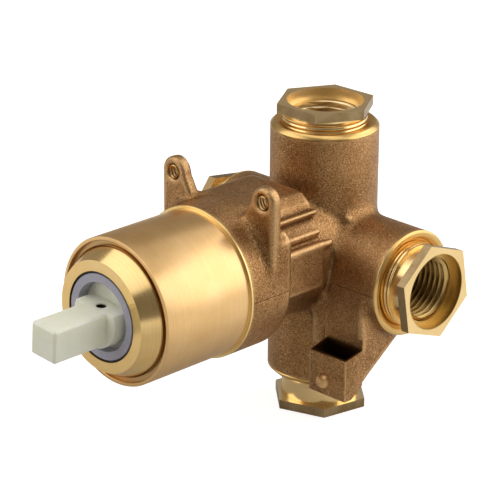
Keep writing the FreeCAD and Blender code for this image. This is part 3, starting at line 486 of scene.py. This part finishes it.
def turned_brass(name, tints, centre, axis, roughness, tool_mark, mouth=None, bands=()):
    """Brass with the lathe's rings about an axis and tinted bands, some of them painted shade and highlight;
    on a bushing, painted light in its mouth, a painted highlight on its inner shoulder, and painted shade on
    its flats and deep in its bore.
    """
    shade = new_shade(name)
    place = shade.place()
    offset = shade.offset(place, centre)
    along = shade.dot(offset, axis)
    reach = shade.length(offset)
    rings = shade.node("ShaderNodeCombineXYZ", None, {0: along, 1: reach})
    tooling = shade.noise(rings, 0.4, detail=2.0)
    cloud = shade.noise(place, 9.0, detail=4.0, roughness=0.6)
    tint = shade.blend((cloud * 0.6 + tooling * 0.4).rise(0.3, 0.7), *tints)
    rough = roughness + (cloud - 0.5) * 0.08
    aside = shade.from_axis(reach, along)
    for inner, outer, share, stain in bands:
        banded = aside.rise(inner - 0.1, inner) * aside.rise(outer + 0.1, outer) * share
        tint = shade.blend(banded, tint, stain)
    if mouth:
        normal = shade.node("ShaderNodeNewGeometry", output="Normal")
        facing = shade.dot(normal, axis) * along.math("SIGN")
        # Painted shade: the hex's flats are darker, and also rougher
        drawn = aside.rise(HEX_HALF_FLATS - 0.3, HEX_HALF_FLATS - 0.1)
        drawn = drawn * facing.math("ABSOLUTE").rise(0.6, 0.3)
        # Painted highlight on the shoulder that faces in toward the body
        shoulder = aside.rise(BUSH_COLLAR_RADIUS + 0.15, BUSH_COLLAR_RADIUS + 0.35) * facing.rise(-0.6, -0.9)
        # Painted light in the mouth's recess, darker on the arms and paler on the tubes; the recess is also
        # rougher
        recess = aside.rise(BUSH_MOUTH_RADIUS + 0.25, BUSH_MOUTH_RADIUS + 0.1)
        shaded_flats = shade.blend(cloud.rise(0.35, 0.65), *SHADED_FLATS)
        # Painted shade: the bore darkens deeper in
        depth = aside.rise(BUSH_BORE_RADIUS + 0.5, BUSH_BORE_RADIUS + 0.2)
        depth = depth * along.math("ABSOLUTE").rise(SHALLOW_BORE, DEEP_BORE)
        tint = shade.blend(recess, tint, mouth)
        tint = shade.blend(shoulder * 0.8, tint, INNER_SHOULDER_HIGHLIGHT)
        tint = shade.blend(depth * 0.85, tint, BORE_SHADE_BRASS)
        tint = shade.blend(drawn, tint, shaded_flats)
        rough = rough + drawn * 0.14 + recess * 0.16
    grooved = shade.bump(tooling, tool_mark, 0.6)
    return shade.finish(Base_Color=tint, Metallic=1.0, Roughness=rough, Normal=grooved)


def moulded_plastic(name, tints, roughness, subsurface, pit=None):
    """Plastic with a faint mottle and a fine grain, with painted shade inside a pit (its mouth, axis and
    radius).
    """
    shade = new_shade(name)
    place = shade.place()
    cloud = shade.noise(place, 5.0, detail=3.0)
    skin = shade.noise(place, 0.35, detail=2.0)
    tint = shade.blend((cloud * 0.7 + skin * 0.3).rise(0.3, 0.7), *tints)
    if pit:
        mouth, axis, radius = pit
        offset = shade.offset(place, mouth)
        depth = shade.dot(offset, axis)
        reach = shade.length(offset)
        # Painted shade inside the pit
        inside = shade.from_axis(reach, depth).rise(radius + 0.15, radius) * depth.rise(-0.1, -0.5)
        tint = shade.blend(inside, tint, HOLE_SHADE)
    rough = roughness + (skin - 0.5) * 0.12
    return shade.finish(Base_Color=tint, Roughness=rough, Subsurface_Weight=subsurface,
                        Subsurface_Scale=SCATTER_SCALE, Subsurface_Radius=SCATTER_SHARES,
                        IOR=PLASTIC_IOR, Normal=shade.bump(skin, 0.02, 0.35))


def polished(name, tints, roughness, metallic):
    """A hard ground surface, ceramic or steel, with faint cloudy wear."""
    shade = new_shade(name)
    cloud = shade.noise(shade.place(), 2.5, detail=4.0)
    tint = shade.blend(cloud.rise(0.3, 0.7), *tints)
    return shade.finish(Base_Color=tint, Metallic=metallic, Roughness=roughness + (cloud - 0.5) * 0.1)


def new_piece(name, mesh, material, smooth_under=SHARP_ANGLE):
    """Puts a mesh in the scene as a piece that rides on the valve."""
    piece = bpy.data.objects.new(name, mesh)
    scene.collection.objects.link(piece)
    mesh.shade_smooth()
    mesh.set_sharp_from_angle(angle=math.radians(smooth_under))
    mesh.materials.clear()
    mesh.materials.append(material)
    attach(piece, "valve")
    return piece


def lathe(profile, place, sides=192):
    """Turns a profile of (radius, height) points in millimetres about Z, and puts it in place."""
    angles = [2 * math.pi * side / sides for side in range(sides)]
    points = [(radius * math.cos(angle) * MM, radius * math.sin(angle) * MM, height * MM)
              for radius, height in profile for angle in angles]
    faces = []
    for row in range(len(profile) - 1):
        for side in range(sides):
            following = (side + 1) % sides
            low = row * sides
            high = low + sides
            faces.append((low + side, low + following, high + following, high + side))
    mesh = bpy.data.meshes.new("turned")
    mesh.from_pydata(points, [], faces)
    mesh.transform(place)
    return mesh


def thread_wave(phase):
    """The height of a thread, 0 in its root and 1 on its crest, along one turn."""
    flank = 1 - abs(2 * (phase % 1.0) - 1)
    return min(max((flank - THREAD_ROOT) / THREAD_FLANK, 0.0), 1.0)


def threaded_sleeve(root, crest, low, high, pitch, place, sides=120, steps=10):
    """A helical thread between two heights: radii of its root and crest in millimetres."""
    rows = int(round((high - low) / pitch * steps))
    points = []
    for row in range(rows + 1):
        height = low + (high - low) * row / rows
        for side in range(sides):
            turn = side / sides
            angle = 2 * math.pi * turn
            radius = root + (crest - root) * thread_wave(height / pitch - turn)
            points.append((radius * math.cos(angle) * MM, radius * math.sin(angle) * MM, height * MM))
    faces = []
    for row in range(rows):
        for side in range(sides):
            following = (side + 1) % sides
            faces.append((row * sides + side, row * sides + following,
                          (row + 1) * sides + following, (row + 1) * sides + side))
    mesh = bpy.data.meshes.new("thread")
    mesh.from_pydata(points, [], faces)
    mesh.transform(place)
    return mesh


def welded_soup(node):
    """The node's mesh for editing, with the points that its faces share made one."""
    soup = bmesh.new()
    soup.from_mesh(node.data)
    bmesh.ops.remove_doubles(soup, verts=soup.verts, dist=WELD)
    return soup


def voxel_copy(node, size):
    """The node's mesh, built again from even voxels of size millimetres."""
    soup = welded_soup(node)
    mesh = bpy.data.meshes.new("welded")
    soup.to_mesh(mesh)
    soup.free()
    helper = bpy.data.objects.new("voxel_helper", mesh)
    scene.collection.objects.link(helper)
    remesh = helper.modifiers.new("voxels", "REMESH")
    remesh.mode = "VOXEL"
    remesh.voxel_size = size * MM
    remesh.adaptivity = 0.0
    depsgraph = bpy.context.evaluated_depsgraph_get()
    dense = bpy.data.meshes.new_from_object(helper.evaluated_get(depsgraph))
    bpy.data.objects.remove(helper)
    bpy.data.meshes.remove(mesh)
    return dense


def vertex_points(mesh):
    flat = np.empty(len(mesh.vertices) * 3, np.float32)
    mesh.vertices.foreach_get("co", flat)
    return flat.reshape(-1, 3).astype(float)


def vertex_normals(mesh):
    flat = np.empty(len(mesh.vertices) * 3, np.float32)
    mesh.vertex_normals.foreach_get("vector", flat)
    return flat.reshape(-1, 3).astype(float)


def set_points(mesh, points):
    """Moves a mesh's points to new places in millimetres."""
    mesh.vertices.foreach_set("co", (points * MM).astype(np.float32).ravel())
    mesh.update()


def neighbour_mean(points, edges, counts):
    """The mean of each point's neighbours."""
    total = np.zeros_like(points)
    for column in range(3):
        total[:, column] = (np.bincount(edges[:, 0], points[edges[:, 1], column], len(points))
                            + np.bincount(edges[:, 1], points[edges[:, 0], column], len(points)))
    return total / counts[:, None]


def machined_region(points):
    """True where the casting is machined: barrel, cavity, and the ports' ends and bores. Points in mm."""
    front = -points[:, 1]
    from_barrel = np.hypot(points[:, 0], points[:, 2] - BARREL_RISE)
    region = (front > SHOULDER_FRONT - 0.4) & (from_barrel < HUB_RADIUS + SKIN_MARGIN)
    region |= (from_barrel < CAVITY_RADIUS) & (front > SEAT_FRONT)
    region |= (from_barrel < HUB_BORE_RADIUS) & (front > HUB_BORE_BACK)
    for port in PORTS:
        outward = np.array(port.outward)
        reach = points @ outward
        radius = np.linalg.norm(points - reach[:, None] * outward, axis=1)
        region |= (reach > port.face - port.bevel - 0.3) & (radius < port.wall + SKIN_MARGIN)
        region |= (reach > port.face - PORT_DEPTH + 0.2) & (radius < PORT_RADIUS + 0.9)
    return region


def make_casting_skin(material):
    """The casting's rough outside: edges rounded, corners filled, machined ends left to other pieces."""
    mesh = voxel_copy(nodes["body_casting"], SKIN_VOXEL)
    edges = np.empty(len(mesh.edges) * 2, np.int32)
    mesh.edges.foreach_get("vertices", edges)
    edges = edges.reshape(-1, 2)
    points = vertex_points(mesh) / MM
    counts = np.bincount(edges.ravel(), minlength=len(points))
    still = machined_region(points)
    loose = ~still
    across, front, height = points[:, 0], -points[:, 1], points[:, 2]
    ribbed = (front > RIBS_BACK) & (front < RIBS_FRONT) & (height > RIBS_LOW) & (np.abs(across) > RIBS_ACROSS)
    boxed = (height < WALL_TOP) & (across > WALL_LEFT) & (front > WALL_BACK)
    soft = loose & ~(ribbed | boxed)
    for turn in range(EASING_TURNS):
        drawn = neighbour_mean(points, edges, counts) - points
        eased = loose if turn < CRISP_TURNS else soft
        points[eased] += EASING * drawn[eased]
    for _ in range(FILL_ROUNDS):
        set_points(mesh, points)
        normals = vertex_normals(mesh)
        for _ in range(FILL_TURNS):
            drawn = neighbour_mean(points, edges, counts) - points
            outward = np.einsum("ij,ij->i", drawn, normals)
            rising = soft & (outward > 0.0)
            points[rising] += FILLING * drawn[rising]
    drawn = neighbour_mean(points, edges, counts) - points
    curve = -np.einsum("ij,ij->i", drawn, vertex_normals(mesh))
    for _ in range(EDGE_SPREAD):
        wide = np.repeat(curve[:, None], 3, axis=1)
        curve = neighbour_mean(wide, edges, counts)[:, 0]
    set_points(mesh, points)
    attribute = mesh.attributes.new("edge", "FLOAT", "POINT")
    attribute.data.foreach_set("value", (curve * EDGE_GAIN).astype(np.float32))
    trimmed = bmesh.new()
    trimmed.from_mesh(mesh)
    trimmed.verts.ensure_lookup_table()
    gone = [trimmed.verts[index] for index in np.flatnonzero(still)]
    bmesh.ops.delete(trimmed, geom=gone, context="VERTS")
    cut_at_box(trimmed, keep_box=False)
    trimmed.to_mesh(mesh)
    trimmed.free()
    skin = new_piece("casting_skin", mesh, material, smooth_under=ALL_SMOOTH)
    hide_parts("body_casting")


def cut_at_box(soup, keep_box):
    """Cuts a mesh along the box's region, and keeps what is inside it or what is outside."""
    sides = [((BOX_LEFT, 0, 0), ARM_AXIS), ((0, -BOX_BACK, 0), FORWARD), ((0, 0, BOX_TOP), DOWNWARD)]
    for spot, inward in sides:
        everything = soup.verts[:] + soup.edges[:] + soup.faces[:]
        bmesh.ops.bisect_plane(soup, geom=everything, dist=WELD / 10,
                               plane_co=Vector(spot) * MM, plane_no=inward)
    gone = []
    for face in soup.faces:
        middle = face.calc_center_median() / MM
        inside = all((middle - Vector(spot)).dot(Vector(inward)) > 0 for spot, inward in sides)
        if inside != keep_box:
            gone.append(face)
    bmesh.ops.delete(soup, geom=gone, context="FACES")


def make_box(material):
    """The bracket's box with its thin walls, taken from the part as it is, with softened edges."""
    soup = welded_soup(nodes["body_casting"])
    cut_at_box(soup, keep_box=True)
    mesh = bpy.data.meshes.new("box")
    soup.to_mesh(mesh)
    soup.free()
    box = new_piece("bracket_box", mesh, material)
    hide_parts("body_casting")
    soften(box, width=0.25)


def make_barrel(material):
    """The machined barrel: shoulder, outside, rim, mouth and bore."""
    hub, shoulder = HUB_RADIUS, SHOULDER_FRONT
    outside, rim, lip = BARREL_RADIUS, RIM_FRONT, BARREL_LIP
    profile = [
        (hub - 0.6, shoulder - 1.2), (hub - 0.03, shoulder - 0.5), (hub - 0.06, shoulder - 0.12),
        (hub - 0.2, shoulder), (outside + 0.15, shoulder), (outside, shoulder + 0.15),
        (outside, rim - lip), (outside - 0.1, rim - 0.1), (outside - lip, rim),
        (MOUTH_RADIUS + 0.15, rim), (MOUTH_RADIUS, rim - 0.15), (MOUTH_RADIUS, rim - MOUTH_DEPTH),
        (NUT_THREAD_RADIUS, rim - MOUTH_DEPTH), (NUT_THREAD_RADIUS, NUT_THREAD_END),
        (CAVITY_RADIUS, NUT_THREAD_END), (CAVITY_RADIUS, CAVITY_FLOOR),
    ]
    turned = lathe(profile, facing_forward(BARREL_CENTRE))
    barrel = new_piece("turned_barrel", turned, material)
    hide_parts("body_casting")


def make_port_ends(material):
    """Each port's machined end: bevel, face, countersink and threaded bore."""
    for port in PORTS:
        wall, face, bevel = port.wall, port.face, port.bevel
        flare = PORT_RADIUS + COUNTERSINK
        profile = [
            (wall - 0.5, face - bevel - 1.4), (wall + 0.02, face - bevel - 0.25),
            (wall - 0.05, face - bevel + 0.05), (wall - bevel, face - 0.08), (wall - bevel - 0.15, face),
            (flare + 0.15, face), (flare, face - 0.1), (PORT_RADIUS, face - COUNTERSINK),
            (PORT_RADIUS, face - PORT_DEPTH), (PORT_FLOOR_RADIUS, face - PORT_DEPTH - 0.1),
        ]
        end = new_piece(port.name + "_port_end", lathe(profile, port.place()), material)
        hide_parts("body_casting")


def make_threads(arm_material, tube_material):
    """The pipe threads inside and outside each bushing, and the screw threads in the ears."""
    for port in PORTS:
        material = arm_material if port.outward.x else tube_material
        inside = threaded_sleeve(BUSH_BORE_RADIUS - 0.04, BUSH_BORE_RADIUS - BORE_THREAD_HEIGHT,
                                 port.face - BUSH_ENGAGEMENT + 0.1,
                                 port.face + port.stand_off - BUSH_MOUTH_DEPTH - 0.2,
                                 PIPE_PITCH, port.place())
        new_piece(port.name + "_bore_thread", inside, material)
        outside = threaded_sleeve(BUSH_THREAD_RADIUS + 0.02, BUSH_THREAD_RADIUS + NECK_THREAD_HEIGHT,
                                  port.face - NECK_THREAD_HIDDEN, port.face + NECK_THREAD_SHOWING,
                                  NECK_PITCH, port.place())
        new_piece(port.name + "_neck_thread", outside, material)
    for name, across in (("left_ear_thread", -EAR_ACROSS), ("right_ear_thread", EAR_ACROSS)):
        centre = (across, 0, EAR_HEIGHT)
        hole = threaded_sleeve(EAR_HOLE_RADIUS - 0.03, EAR_HOLE_RADIUS - EAR_THREAD_HEIGHT,
                               EAR_FRONT - EAR_THICKNESS + 0.1, EAR_FRONT - 0.15, EAR_PITCH,
                               facing_forward(centre), sides=64, steps=12)
        material = turned_brass(name, SATIN_BRASS, centre, BARREL_AXIS, roughness=0.35, tool_mark=0.001,
                                bands=[EAR_ROOTS])
        new_piece(name, hole, material, smooth_under=ALL_SMOOTH)


def make_nub(material):
    """The round nub on the box's front wall."""
    profile = [(0.0, NUB_RADIUS)]
    for step in range(1, NUB_STEPS + 1):
        angle = math.radians(90 - step * NUB_STEP_DEGREES)
        profile.append((NUB_RADIUS * math.cos(angle), NUB_RADIUS * math.sin(angle)))
    turned = lathe(profile, facing_forward(NUB_PLACE), sides=64)
    nub = new_piece("box_nub", turned, material)
    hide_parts("body_casting")


def soften(piece, width):
    """Bevels a piece's sharp edges by width millimetres."""
    bevel = piece.modifiers.new("soft_edges", "BEVEL")
    bevel.width = width * MM
    bevel.segments = 2
    bevel.limit_method = "ANGLE"
    bevel.angle_limit = math.radians(SHARP_ANGLE)
    bevel.harden_normals = True


def dress(name, material, bevel=0.0):
    """Gives a node of the frame its finish, and softens its edges by bevel millimetres."""
    node = nodes[name]
    node.data.materials.clear()
    node.data.materials.append(material)
    if bevel:
        soften(node, bevel)


def add_light(name, spot, width, height, watts):
    """A soft box at spot, in metres, that faces the valve."""
    data = bpy.data.lights.new(name, "AREA")
    data.shape = "RECTANGLE"
    data.size = width
    data.size_y = height
    data.energy = watts
    lamp = bpy.data.objects.new(name, data)
    aim = Vector(LIGHT_TARGET) - Vector(spot)
    lamp.matrix_world = Matrix.Translation(Vector(spot)) @ aim.to_track_quat("-Z", "Y").to_matrix().to_4x4()
    scene.collection.objects.link(lamp)


def add_floor():
    """A pale floor under the valve, white to the camera, with painted pools of light, a glow that the metal
    shows.
    """
    low = cad_box[0][2]
    half = FLOOR_HALF_WIDTH
    mesh = bpy.data.meshes.new("floor")
    mesh.from_pydata([(-half, -half, low), (half, -half, low), (half, half, low), (-half, half, low)],
                     [], [(0, 1, 2, 3)])
    floor = bpy.data.objects.new("floor", mesh)
    scene.collection.objects.link(floor)
    shade = new_shade("pale_floor")
    sheen = shade.noise(shade.place(), 60.0, detail=2.0)
    matt = shade.node("ShaderNodeBsdfDiffuse", None, {"Color": shade.blend(sheen, *FLOOR_GREY)})
    # Painted pools of light: the floor glows in them for reflected rays only
    pool_glow = FLOOR_IN_METAL
    for side, near, far, strength in GLOW_POOLS:
        pool_glow = shade.dot(shade.place(), side).rise(near, far) * strength + pool_glow
    seen = shade.ray("Camera") + shade.ray("Transmission") + shade.ray("Glossy") * pool_glow
    glow = shade.node("ShaderNodeEmission", None, {"Color": WHITE, "Strength": seen * FLOOR_GLOW})
    both = shade.node("ShaderNodeAddShader", None, {0: matt, 1: glow})
    shade.node("ShaderNodeOutputMaterial", None, {"Surface": both})
    mesh.materials.append(shade.owner)


def add_surround():
    """A white surround that the camera sees and the metal hints at, and a warm dim room for other light."""
    scene.world = bpy.data.worlds.new("studio")
    studio = Shade(scene.world)
    seen = studio.ray("Camera") + studio.ray("Transmission") + studio.ray("Glossy") * ROOM_IN_METAL
    direction = studio.node("ShaderNodeTexCoord", output="Generated")
    shaded = studio.dot(direction, SHADED_SIDE).rise(0.3, 0.95)
    room = studio.node("ShaderNodeBackground", None,
                       {"Color": ROOM_WARM, "Strength": ROOM_LIGHT - shaded * ROOM_SHADE})
    backdrop = studio.node("ShaderNodeBackground", None, {"Color": WHITE, "Strength": 1.0})
    mixed = studio.node("ShaderNodeMixShader", None, {0: seen, 1: room, 2: backdrop})
    studio.node("ShaderNodeOutputWorld", None, {"Surface": mixed})


add_camera()
add_floor()
add_surround()
for soft_box in SOFT_BOXES:
    add_light(*soft_box)

bronze = cast_bronze()
barrel_brass = turned_brass("satin_barrel_brass", SATIN_BRASS, BARREL_CENTRE, BARREL_AXIS,
                            roughness=0.32, tool_mark=0.0009, bands=[NUT_GROOVE, SHOULDER_HIGHLIGHT])
nut_brass = turned_brass("bright_nut_brass", BRIGHT_BRASS, BARREL_CENTRE, BARREL_AXIS,
                         roughness=0.2, tool_mark=0.0005, bands=[NUT_GROOVE])
port_brass = turned_brass("satin_port_brass", GOLDEN_BRASS, CROSSING, ARM_AXIS,
                          roughness=0.3, tool_mark=0.002)
arm_brass = turned_brass("turned_arm_brass", BRIGHT_BRASS, CROSSING, ARM_AXIS,
                         roughness=0.22, tool_mark=0.003, mouth=ARM_MOUTH_SHADE, bands=[PALE_NECK])
tube_brass = turned_brass("turned_tube_brass", BRIGHT_BRASS, CROSSING, TUBE_AXIS,
                          roughness=0.22, tool_mark=0.003, mouth=TUBE_MOUTH_HIGHLIGHT, bands=[PALE_NECK])
worn_brass = turned_brass("worn_brass", SATIN_BRASS, NUB_PLACE, BARREL_AXIS, roughness=0.5, tool_mark=0.002)
stem_key = Vector((math.sin(STEM_TURN), 0, math.cos(STEM_TURN)))
hole_mouth = Vector((0, -STEM_HOLE_FRONT, BARREL_RISE)) + stem_key * STEM_HOLE_RISE
stem_plastic = moulded_plastic("stem_plastic", STEM_WHITE, roughness=0.34, subsurface=0.8,
                               pit=(hole_mouth, stem_key, STEM_HOLE_RADIUS))
cap_plastic = moulded_plastic("cap_plastic", CAP_GREY, roughness=0.4, subsurface=0.0)
housing_plastic = moulded_plastic("housing_plastic", HOUSING_GREY, roughness=0.42, subsurface=0.1)
rubber = moulded_plastic("seal_rubber", RUBBER_BLACK, roughness=0.6, subsurface=0.0)
ceramic = polished("disc_ceramic", CERAMIC_WHITE, roughness=0.2, metallic=0.0)
steel = polished("spool_steel", STEEL_GREY, roughness=0.25, metallic=1.0)

make_casting_skin(bronze)
make_box(bronze)
make_barrel(barrel_brass)
make_port_ends(port_brass)
make_threads(arm_brass, tube_brass)
make_nub(worn_brass)
dress("retainer_nut", nut_brass, bevel=0.15)
dress("dust_seal", rubber)
dress("cartridge_cap", cap_plastic, bevel=0.1)
dress("control_stem", stem_plastic, bevel=0.5)
for bushing in ("hot_inlet_adaptor", "cold_inlet_adaptor"):
    dress(bushing, arm_brass, bevel=0.2)
for bushing in ("shower_outlet_adaptor", "tub_outlet_adaptor"):
    dress(bushing, tube_brass, bevel=0.2)
dress("cartridge_housing", housing_plastic, bevel=0.15)
for ring in ("housing_o_ring", "stem_o_ring", "disc_gasket", "hot_port_seal", "cold_port_seal"):
    dress(ring, rubber)
for disc in ("rotating_disc", "fixed_disc"):
    dress(disc, ceramic)
for spool in ("balance_sleeve", "balance_piston", "hot_end_plug", "cold_end_plug"):
    dress(spool, steel)

scene.view_settings.view_transform = "Standard"
bpy.context.view_layer.update()
